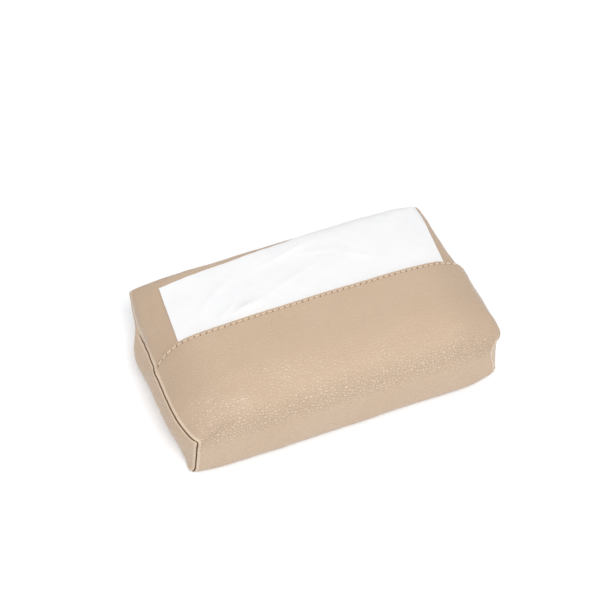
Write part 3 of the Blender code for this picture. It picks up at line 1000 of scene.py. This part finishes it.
leather = makeLeather()
suede = makeSuede()
tapeWeave = makeTapeWeave()
twistedThread = makeTwistedThread()
holeShade = makeHoleShade()
greyBoard = makeGreyBoard()
tissuePaper = makeTissuePaper()
print("finishes made")


# The strip: front half with the front flap, rear half with the rear flap
perStitch = stitchLine["stepsPerStitch"]
frontShares = evenShares(frontEdge, 1, stitchLine["pitch"] / perStitch, multiple=perStitch)
rearShares = finerEnds(evenShares(rearEdge, 1, stripGrid["rearColumn"]))
for front, word, shares in ((True, "front", frontShares), (False, "rear", rearShares)):
    strip = makeStrip(word + "Strip", front, shares, leather)
    bendFlap(strip, word + "_flap")
    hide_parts("case_leather", word + "_flap_leather")
    print(word, "half of the strip made:", len(strip.data.polygons), "faces")

liningShares = evenShares(rearEdge, stripGrid["liningReach"], stripGrid["liningColumn"])
for front, word in ((True, "front"), (False, "rear")):
    lining = makeLayer(word + "Lining", front, liningShares, layers["liningNear"], layers["liningFar"],
                       stripGrid["liningStop"], suede)
    bendFlap(lining, word + "_flap")
    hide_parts("case_lining", word + "_flap_lining")

tapeForm = {"outerShare": 0.982, "innerShare": 0.932, "columns": 5, "stop": 10 * mm, "wallStep": 2 * mm}
for side, sideWord in ((-1, "left"), (1, "right")):
    for front, word in ((True, "front"), (False, "rear")):
        shares = side * np.linspace(tapeForm["innerShare"], tapeForm["outerShare"], tapeForm["columns"])
        tape = makeLayer(word + sideWord.capitalize() + "Tape", front, shares, layers["tapeNear"],
                         layers["tapeFar"], tapeForm["stop"], tapeWeave, tapeForm["wallStep"])
        bendFlap(tape, word + "_flap")
        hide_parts(sideWord + "_case_seam_tape", f"{word}_flap_{sideWord}_seam_tape")
print("linings and tapes made")


endPanel = {
    "bulge": {-1: 8.4 * mm, 1: 8.6 * mm},
    # how much harder the rear part is pressed out, from where and over what depth, and how it lets go
    "rearLoad": {-1: 1.8, 1: 0.0},
    "pressFrom": 2 * mm,
    "pressEase": 25 * mm,
    "letGo": 2.4,
    "letGoFrom": 36 * mm,
    "letGoEase": 16 * mm,
    "tuck": 1.1 * mm,  # how far it goes in behind the strip where the seam's crease is hidden
    "shine": 0.5,  # as a share of the strip's
    "seamAllowance": 0.04 * mm,
    "tuckAngle": 135,
    "leans": (2, 35, 80),  # how far it may lean out at the seam, in degrees: least, at first, most
    "waves": [(0.25 * mm, 1.6, 30, 31), (0.07 * mm, 1, 9, 33)],  # (height, squeeze, wavelength, seed)
    "waveEase": 8 * mm,
    "liningMargin": 3,
    # the four sides, each from one station to another in so many cells
    "sides": {
        "bottom": (3.5, 19.5 - loopCount, 70),
        "top": (8.0, 15.0, 70),
        "front": (3.5, 8.0, 24),
        "rear": (19.5, 15.0, 24),
    },
}


def rimLine(side, stations):
    # the seam's crease along the strip's end, and the direction outwards across the case
    share = np.full(stations.shape, float(side))
    low, _ = skin(share, stations, 0, False)
    high, _ = skin(share, stations, 0, True)
    behind = (low[:, 1] - frontEdge(1.0)) / flaps["rimStep"]
    onFront = np.where(stations < crest + 2, 1 - smooth(behind), 0)
    withFront = onFront > 0.5
    normals = [sectionNormal(share, stations, front) for front in (True, False)]
    normal = np.where(withFront[:, None], *normals)
    slope = np.where(withFront, *(endSlope(side, stations, front) for front in (True, False)))
    return rollPoints(low + (high - low) * onFront[:, None], normal, side, slope, [1.0])[:, 0], normal


def evenStations(side, first, last, cells):
    fine = np.linspace(first, last, 600)
    length = lengthAlong(rimLine(side, fine)[0])
    return np.interp(np.linspace(0, length[-1], cells + 1), length, fine)


def coons(bottom, top, front, rear):
    # a patch between four border lines
    u = np.linspace(0, 1, bottom.shape[0])[None, :, None]
    v = np.linspace(0, 1, front.shape[0])[:, None, None]
    ruledUp = (1 - v) * bottom[None] + v * top[None]
    ruledAcross = (1 - u) * front[:, None] + u * rear[:, None]
    lowCorners = (1 - u) * bottom[0] + u * bottom[-1]
    highCorners = (1 - u) * top[0] + u * top[-1]
    return ruledUp + ruledAcross - (1 - v) * lowCorners - v * highCorners


def stretchPanel(sheet, bulge, rearLoad):
    # x of a skin stretched over the rim, and how far a load presses it out
    rows, columns = sheet.shape[:2]
    count = rows * columns
    index = np.arange(count).reshape(rows, columns)
    a, b, c, d = (part.ravel() for part in (index[:-1, :-1], index[:-1, 1:], index[1:, 1:], index[1:, :-1]))
    triangles = np.concatenate([stacked(*three) for three in ((a, b, c), (a, c, d), (a, b, d), (b, c, d))])
    points = sheet[..., 1:].reshape(-1, 2)
    matrix = np.zeros((count, count))
    load = np.zeros(count)
    for i in range(3):
        p, q, r = (triangles[:, (i + step) % 3] for step in range(3))
        toQ, toR = points[q] - points[p], points[r] - points[p]
        area = np.abs(toQ[:, 0] * toR[:, 1] - toQ[:, 1] * toR[:, 0]) + 1e-12
        weight = 0.25 * np.sum(toQ * toR, axis=1) / area
        for row, column, sign in ((q, r, -1), (r, q, -1), (q, q, 1), (r, r, 1)):
            np.add.at(matrix, (row, column), sign * weight)
        y = points[p, 0]
        harder = smooth((y - endPanel["pressFrom"]) / endPanel["pressEase"])
        softer = endPanel["letGo"] * smooth((y - endPanel["letGoFrom"]) / endPanel["letGoEase"])
        np.add.at(load, p, area / 12 * (1 + rearLoad * (harder - softer)))
    inner = index[1:-1, 1:-1].ravel()
    border = np.setdiff1d(np.arange(count), inner)
    x = sheet[..., 0].flatten()
    right = stacked(-matrix[np.ix_(inner, border)] @ x[border], load[inner])
    solved = np.linalg.solve(matrix[np.ix_(inner, inner)], right)
    swell = np.zeros(count)
    swell[inner] = solved[:, 1] / solved[:, 1].max() * bulge
    x[inner] = solved[:, 0]
    return x.reshape(rows, columns), swell.reshape(rows, columns)


def gridNormal(points, side):
    normal = unit(np.cross(np.gradient(points, axis=1), np.gradient(points, axis=0)))
    return normal * np.sign(normal[..., :1]) * side


def borderGap(flat):
    # how far every point of the grid is from its border
    return np.linalg.norm(flat[:, :, None] - borderOf(flat)[None, None], axis=-1).min(axis=-1)


def borderJoin(parts):
    # the four sides in one round, in the order of borderOf
    bottom, rear, top, front = (parts[label] for label in ("bottom", "rear", "top", "front"))
    return np.concatenate([bottom[:-1], rear[:-1], top[:0:-1], front[:0:-1]])


def swung(side, turn, outward):
    # the way from the seam's centre line to its rolled edge
    return seamRoll["radius"] * (np.cos(turn) * np.array([side, 0, 0]) + np.sin(turn) * outward)


def panelSheet(side, centres, outwards):
    # the panel leaves the rolled seam at its own lean, found in a few rounds
    least, first, most = (math.radians(angle) for angle in endPanel["leans"])
    lean = {label: np.full(len(line), first) for label, line in centres.items()}
    for _ in range(3):
        edges = {label: centre + swung(side, lean[label][:, None], outwards[label])
                 for label, centre in centres.items()}
        for across, upwards, i, j in (("bottom", "front", 0, 0), ("bottom", "rear", -1, 0),
                                      ("top", "front", 0, -1), ("top", "rear", -1, -1)):
            middle = (edges[across][i] + edges[upwards][j]) / 2
            edges[across][i] = middle
            edges[upwards][j] = middle
        sheet = coons(edges["bottom"], edges["top"], edges["front"], edges["rear"])
        tense, swell = stretchPanel(sheet, endPanel["bulge"][side], endPanel["rearLoad"][side])
        points = stacked(tense + side * swell, sheet[..., 1], sheet[..., 2])
        inwards = {"bottom": (points[0], points[1]), "top": (points[-1], points[-2]),
                   "front": (points[:, 0], points[:, 1]), "rear": (points[:, -1], points[:, -2])}
        for label, (rim, near) in inwards.items():
            rise = side * (near[:, 0] - rim[:, 0])
            run = np.linalg.norm(near[:, 1:] - rim[:, 1:], axis=1)
            lean[label] = np.clip(np.arctan2(rise, run), least, most)
    return points, lean


def makeEndPanel(side, word):
    diagonal = seamRoll["radius"] * math.sqrt(0.5)
    centres, outwards, darkness = {}, {}, {}
    for label, (first, last, cells) in endPanel["sides"].items():
        stations = evenStations(side, first, last, cells)
        crease, outwards[label] = rimLine(side, stations)
        darkness[label] = onSide("crease", side, wrapStation(stations))
        tuck = endPanel["tuck"] * (1 - darkness[label]) ** 2
        out = side * (diagonal + endPanel["seamAllowance"] - tuck)
        centres[label] = crease + out[:, None] * np.array([1.0, 0, 0]) - outwards[label] * diagonal
    points, lean = panelSheet(side, centres, outwards)
    normal = gridNormal(points, side)
    y, z = points[..., 1] / mm, points[..., 2] / mm
    fromRim = borderGap(points[..., 1:])
    soft = sum(height * undulation(y, z * squeeze, wavelength, seed + side)
               for height, squeeze, wavelength, seed in endPanel["waves"])
    outer = points + normal * (soft * smooth(fromRim / endPanel["waveEase"]))[..., None]
    inner = outer - normal * layers["leather"]
    shares = np.linspace(0, 1, seamRoll["steps"] + 1)[:-1]
    tuckAngle = math.radians(endPanel["tuckAngle"])
    turns = [(tuckAngle + (borderJoin(lean) - tuckAngle) * share)[:, None] for share in shares]
    centre, outward = borderJoin(centres), borderJoin(outwards)
    rings = [centre + swung(side, turn, outward) for turn in turns]
    rows, columns = outer.shape[:2]
    half = rows * columns
    outerBorder = borderOf(np.arange(half).reshape(rows, columns))
    chain = [*(2 * half + np.arange(len(rings) * len(centre)).reshape(len(rings), -1)), outerBorder]
    faces = gridFaces(rows, columns) + gridFaces(rows, columns, half, flip=True)
    for near, far in zip([*chain[:-1], outerBorder + half], [*chain[1:], chain[0]]):
        faces += quads(near, np.roll(near, -1), np.roll(far, -1), far)
    allPoints = np.concatenate([outer.reshape(-1, 3), inner.reshape(-1, 3)] + rings)
    looks = {
        # a painted highlight beside the rim, the inside's value, and painted shade round the rolled seam
        "seamLightAndShade": np.concatenate([
            edgeLightAndShade["seam"][0] * hump(fromRim.ravel(), edgeLightAndShade["seam"][1]),
            np.full(half, edgeLightAndShade["inside"]),
            ((1 - shares)[:, None] * borderJoin(darkness)).ravel(),
        ]),
        "grainRise": np.full(len(allPoints), grainRise["even"]),
        "shine": np.full(len(allPoints), endPanel["shine"]),
        "endShade": np.zeros(len(allPoints)),
    }
    piece = buildPiece(word + "EndPanel", allPoints, faces, looks, leather)
    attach(piece, "case")
    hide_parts(word + "_end_leather")
    margin = endPanel["liningMargin"]
    inset = [(outer - normal * layers[depth])[margin - 1:1 - margin, margin:-margin]
             for depth in ("liningNear", "liningFar")]
    lining = buildPiece(word + "EndLining", inset, shellFaces(*inset[0].shape[:2]), {}, suede)
    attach(lining, "case")
    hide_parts(word + "_end_lining")


for side, word in ((-1, "left"), (1, "right")):
    makeEndPanel(side, word)
print("end panels made")


# Stitches beside the front flap's free edge
stitchForm = {
    "rise": 0.18 * mm,
    "dive": 0.45 * mm,
    "flatness": 3.2,
    "slant": 0.12 * mm,
    "sway": 0.04 * mm,
    "reach": (0.06, 0.94),  # from one hole to the next
    "heights": (0.92, 1.08),
    "thicknesses": (0.94, 1.06),
    "sections": 10,
    "sides": 8,
    "seed": 12,
}
needleHole = {
    "long": 1.3 * mm,
    "lengths": (0.85, 1.15),
    "wide": 0.62 * mm,
    "depthInGroove": 0.4,
    "floorShare": 0.55,
    "floorDepth": 0.12 * mm,
    "sides": 12,
    "seed": 13,
}
holes = range(perStitch, len(frontShares) - perStitch, perStitch)


def besideEdge(depth):
    station = stationAt(frontShares, frontEdge(frontShares) - stitchLine["inset"])
    place, normal = skin(frontShares, station, depth, True)
    return place, normal, liftOf(frontShares, station, True)


def between(rows, at):
    return stacked(*(np.interp(at, np.arange(len(rows)), column) for column in rows.T))


def turnsOf(sides):
    turns = np.arange(sides) / sides * 2 * math.pi
    return turns, np.cos(turns)[:, None], np.sin(turns)[:, None]


def joinThread(piece):
    bendFlap(piece, "front_flap")
    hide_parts("front_flap_thread")


def makeStitches(name, depth, outward):
    place, normal, lift = besideEdge(depth)
    maker = np.random.default_rng(stitchForm["seed"])
    sections, sides = stitchForm["sections"], stitchForm["sides"]
    turns, cos, sin = turnsOf(sides)
    sweep = np.linspace(-1, 1, sections)
    arch = (stitchForm["dive"] + stitchForm["rise"]) * (1 - np.abs(sweep) ** stitchForm["flatness"])
    points, faces, lays, lifts = [], [], [], []
    for start in holes[:-1]:
        at = start + perStitch * np.linspace(*stitchForm["reach"], sections)
        spots, ups = between(place, at), between(normal * outward, at)
        aside = np.cross(ups, unit(np.gradient(spots, axis=0)))
        slant = stitchForm["slant"] * sweep + maker.normal(0, stitchForm["sway"])
        over = (arch - stitchForm["dive"]) * maker.uniform(*stitchForm["heights"])
        spots = spots + ups * over[:, None] + aside * slant[:, None]
        ups = np.cross(unit(np.gradient(spots, axis=0)), aside)
        thick = stitchLine["threadRadius"] * maker.uniform(*stitchForm["thicknesses"])
        base = sections * sides * len(points)
        faces += ringFaces(sections, sides, base)
        faces.append(range(base, base + sides))
        faces.append(range(base + sections * sides)[:-sides - 1:-1])
        points.append(spots[:, None] + thick * (cos * aside[:, None] + sin * ups[:, None]))
        run, turn = np.broadcast_arrays((at * stitchLine["pitch"] / perStitch)[:, None], turns)
        lays.append(stacked(run, turn, 0 * run))
        lifts.append(np.repeat(np.interp(at, np.arange(len(lift)), lift), sides))
    joinThread(buildPiece(name, points, faces, {"lay": lays, "lift": lifts}, twistedThread, 70.0))


def makeNeedleHoles(name):
    place, normal, lift = besideEdge(stitchLine["grooveDepth"] * needleHole["depthInGroove"])
    maker = np.random.default_rng(needleHole["seed"])
    sides = needleHole["sides"]
    _, cos, sin = turnsOf(sides)
    points, faces, lifts = [], [], []
    for hole in holes:
        ahead = unit(place[hole + 1] - place[hole - 1])
        aside = np.cross(normal[hole], ahead)
        long = needleHole["long"] * maker.uniform(*needleHole["lengths"])
        ring = cos * long * ahead + sin * needleHole["wide"] * aside
        floor = place[hole] + ring * needleHole["floorShare"] - normal[hole] * needleHole["floorDepth"]
        base = 2 * sides * len(points)
        faces += ringFaces(2, sides, base)
        faces.append(range(base + sides, base + 2 * sides))
        points.append([place[hole] + ring, floor])
        lifts.append(np.full(2 * sides, lift[hole]))
    joinThread(buildPiece(name, points, faces, {"lift": lifts}, holeShade))


makeStitches("edgeStitches", 0, 1)
makeStitches("edgeStitchesInside", flaps["hemDepth"], -1)
makeNeedleHoles("needleHoles")
print("stitches made")


stackForm = {
    "topDepth": 2.7 * mm,
    "folds": 44,
    "stepsPerFold": 5,
    "foldRoundness": 0.6,
    "groove": 0.55 * mm,
    "endGroove": 0.2 * mm,
    "endJitter": 0.35 * mm,
    "sideJitter": 0.4,  # as a share of the ends'
    "seamBeyond": 4 * mm,
    "columns": 50,
    "rows": 26,
    "seed": 5,
}


def makeStack():
    # the folded tissues, as the six sides of a block with a groove at every fold
    low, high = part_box("tissue_stack")
    folds = stackForm["folds"]
    jitter = np.random.default_rng(stackForm["seed"]).uniform(-1, 1, folds + 1) * stackForm["endJitter"]

    def blockPoint(a, b, t):
        a, b, t = np.broadcast_arrays(a, b, t)
        shift = jitter[np.minimum(np.floor(t * folds).astype(int), folds - 1)]
        pinch = 1 - np.abs(np.sin(np.pi * t * folds)) ** stackForm["foldRoundness"]
        x = a * (high.x - stackForm["endGroove"] * pinch) + shift * np.abs(a)
        y = b * (high.y - stackForm["groove"] * pinch) + shift * stackForm["sideJitter"] * np.abs(b)
        share = x / (caseForm["halfLength"] + stackForm["seamBeyond"])
        top, _ = skin(share, stationAt(share, y), stackForm["topDepth"], False)
        return stacked(x, y, low.z + t * (top[..., 2] - low.z))

    across = np.linspace(-1, 1, stackForm["columns"] + 1)
    deep = np.linspace(-1, 1, stackForm["rows"] + 1)
    up = np.linspace(0, 1, folds * stackForm["stepsPerFold"] + 1)[:, None]
    plans = [(across, -1, up), (across, 1, up), (-1, deep, up), (1, deep, up)]
    plans += [(across, deep[:, None], 0), (across, deep[:, None], 1)]
    points, faces = [], []
    for plan in plans:
        grid = blockPoint(*plan)
        faces += gridFaces(*grid.shape[:2], start=sum(map(len, points)))
        points.append(grid.reshape(-1, 3))
    piece = buildPiece("tissueStack", np.concatenate(points), faces, {}, tissuePaper, 60.0)
    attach(piece, "case")
    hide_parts("tissue_stack")


makeStack()
print("stack made")


# The sheet in the slit
sheetForm = {
    "left": -97 * mm,
    "right": 103 * mm,
    "hiddenEdge": -24 * mm,
    # (x, margin to the rear fold)
    "backMargins": [(-97, 12.5), (-30, 9), (20, 4.8), (45, 2.8), (80, 2.4), (103, 4.2)],
    "backWave": (0.25 * mm, 40, 3),  # (height, wavelength, seed)
    "skew": (3.2 * mm, 6.4 * mm),  # how far the back corners lie to the right of the front ones
    "skewAt": 58 * mm,
    "seamBeyond": 5 * mm,
    "gap": 0.45 * mm,
    "thickness": 0.25 * mm,
    "cell": 1.6 * mm,
    "free": (7 * mm, 7 * mm),  # where it starts to lie free of the leather, and how soon it does
    "waves": [(0.25 * mm, 38, 17), (0.08 * mm, 9, 18)],  # (height, wavelength, seed)
    "creasePower": 1.3,
    # (x, y, half length, half width, turn in degrees, height) in millimetres
    "creases": [
        (0, 50, 22, 1.8, 12, 0.8), (22, 44, 16, 1.5, -10, 0.6), (-8, 26, 22, 2, 20, 0.6),
        (-46, 13, 10, 4, 22, 3.4), (-58, 16, 14, 2.2, 35, 0.8), (50, 30, 20, 1.8, -30, 0.5),
        (-60, 34, 18, 2, 35, 0.5), (78, 52, 12, 1.8, 50, 0.6),
    ],
}


def makeSheet():
    form = sheetForm
    foldY = next(joint["pos_m"][1] for joint in frame["joints"] if joint["name"] == "rear_flap_lift")
    columns = round((form["right"] - form["left"]) / form["cell"]) + 1
    rows = round((foldY - form["hiddenEdge"]) / form["cell"]) + 1
    x = np.linspace(form["left"], form["right"], columns)
    margin = np.interp(x / mm, *zip(*form["backMargins"])) * mm
    height, *wave = form["backWave"]
    back = foldY - margin + height * undulation(x / mm, 0 * x, *wave)
    y = form["hiddenEdge"] + np.linspace(0, 1, rows)[:, None] * (back - form["hiddenEdge"])
    spread = x + np.linspace(*form["skew"], columns) * np.maximum(0, y / form["skewAt"])
    share = spread / (caseForm["halfLength"] + form["seamBeyond"])
    for _ in range(3):
        station = stationAt(share, y)
        share = spread / seamReach(share, station)
    bare, normal = skin(share, station, -form["gap"], False)
    u, v = spread / mm, y / mm
    lift = sum(amount * (1 + undulation(u, v, *wave)) for amount, *wave in form["waves"])
    for centreU, centreV, halfLength, halfWidth, turn, amount in form["creases"]:
        run, off = turnedLine(u, v, centreU, centreV, turn)
        ridge = np.exp(-(np.abs(off / halfWidth) ** form["creasePower"])) * hump(run, halfLength)
        lift = lift + amount * mm * ridge
    freeFrom, freeEase = form["free"]
    top = bare + normal * (np.maximum(lift, 0) * smooth((y - freeFrom) / freeEase))[..., None]
    top[..., 0] = spread
    upper = top + np.array([0, 0, form["thickness"]])
    piece = buildPiece("pulledTissue", [upper, top], shellFaces(rows, columns), {}, tissuePaper, 60.0)
    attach(piece, "pulled_sheet")
    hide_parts("pulled_tissue")


makeSheet()
frame["nodes"]["base_board"].material_slots[0].material = greyBoard
print("sheet and board made")


# Floor, light and camera
studio = {
    "floorSize": 6.0,
    "floorColor": (0.88, 0.90, 0.93, 1.0),
    "floorRoughness": 0.9,
    "floorGloss": 0.1,
    "floorGlow": (0.22, 0.5),  # white for the camera: round the box, and far off
    "glowReach": (0.35, 1.6),
    "white": (1.0, 1.0, 1.0, 1.0),
    "worldStrength": 0.62,
    # each lamp's (place, power, size)
    "lamps": {
        "keyLight": ((-0.12, -0.9, 1.75), 15.5, 0.7),
        "glintLight": ((0.5, -1.6, 0.5), 1.9, 0.2),  # shows the grain along the front bend
        "fillLight": ((-1.2, 0.2, 1.2), 1.0, 0.6),
    },
}


def seenByCamera(tree):
    # 1 for what the camera sees straight, mirrored or through glass
    path = addNode(tree, "LightPath")
    seen = math2(tree, "MAXIMUM", path.outputs["Is Camera Ray"], path.outputs["Is Glossy Ray"])
    return math2(tree, "MAXIMUM", seen, path.outputs["Is Transmission Ray"])


def makeFloor():
    bpy.ops.mesh.primitive_plane_add(size=studio["floorSize"])
    floor = bpy.context.object
    floor.name = "studioFloor"
    material, tree, shader = newMaterial("whiteFloor")
    shader.inputs["Base Color"].default_value = studio["floorColor"]
    shader.inputs["Roughness"].default_value = studio["floorRoughness"]
    shader.inputs["Specular IOR Level"].default_value = studio["floorGloss"]
    place = addNode(tree, "TexCoord").outputs["Object"]
    farness = addNode(tree, "VectorMath", {"operation": "LENGTH"}, in0=place).outputs["Value"]
    strength = mapRange(tree, farness, *studio["glowReach"], *studio["floorGlow"])
    strength = times(tree, seenByCamera(tree), strength)
    glow = addNode(tree, "Emission", Color=studio["white"], Strength=strength)
    both = addNode(tree, "AddShader", in0=shader.outputs[0], in1=glow.outputs[0])
    feed(tree, tree.nodes["Material Output"], "Surface", both.outputs[0])
    floor.data.materials.append(material)


def makeLight(name, place, power, size):
    lamp = bpy.data.lights.new(name, "AREA")
    lamp.energy = power
    lamp.size = size
    holder = bpy.data.objects.new(name, lamp)
    holder.location = place
    holder.rotation_euler = (-Vector(place)).to_track_quat("-Z", "Y").to_euler()
    bpy.context.collection.objects.link(holder)


def makeWorld():
    world = bpy.data.worlds.new("studioWorld")
    world.use_nodes = True
    bpy.context.scene.world = world
    tree = world.node_tree
    strength = addNode(tree, "MapRange", Value=seenByCamera(tree), To_Min=studio["worldStrength"])
    feed(tree, tree.nodes["Background"], "Color", studio["white"])
    feed(tree, tree.nodes["Background"], "Strength", strength.outputs["Result"])


# Fitted to the photograph: where its camera stood and how it was turned
cameraFit = {
    "azimuth": -24.888,
    "elevation": 52.279,
    "roll": 3.149,
    "distance": 0.976172,
    "lens": 82.55,
    "sensor": 36.0,
    "clip": 0.01,
    "aimHeight": 0.02125,
    "right": 0.008164,
    "up": -0.022978,
}


def makeCamera():
    fit = cameraFit
    azimuth, elevation, roll = (math.radians(fit[label]) for label in ("azimuth", "elevation", "roll"))
    level = math.cos(elevation)
    back = Vector((math.sin(azimuth) * level, -math.cos(azimuth) * level, math.sin(elevation)))
    right = (-back).cross(Vector((0, 0, 1))).normalized()
    up = right.cross(-back)
    turnedRight = right * math.cos(roll) + up * math.sin(roll)
    turnedUp = up * math.cos(roll) - right * math.sin(roll)
    place = Vector((0, 0, fit["aimHeight"])) + back * fit["distance"]
    place = place - turnedRight * fit["right"] - turnedUp * fit["up"]
    data = bpy.data.cameras.new("camera")
    data.lens = fit["lens"]
    data.sensor_width = fit["sensor"]
    data.clip_start = fit["clip"]
    camera = bpy.data.objects.new("camera", data)
    turned = Matrix((turnedRight, turnedUp, back)).transposed()
    camera.matrix_world = Matrix.Translation(place) @ turned.to_4x4()
    bpy.context.collection.objects.link(camera)
    bpy.context.scene.camera = camera


makeFloor()
makeWorld()
for name, lampForm in studio["lamps"].items():
    makeLight(name, *lampForm)
makeCamera()
bpy.context.scene.view_settings.view_transform = "Standard"  # so that white stays white
print("studio set")
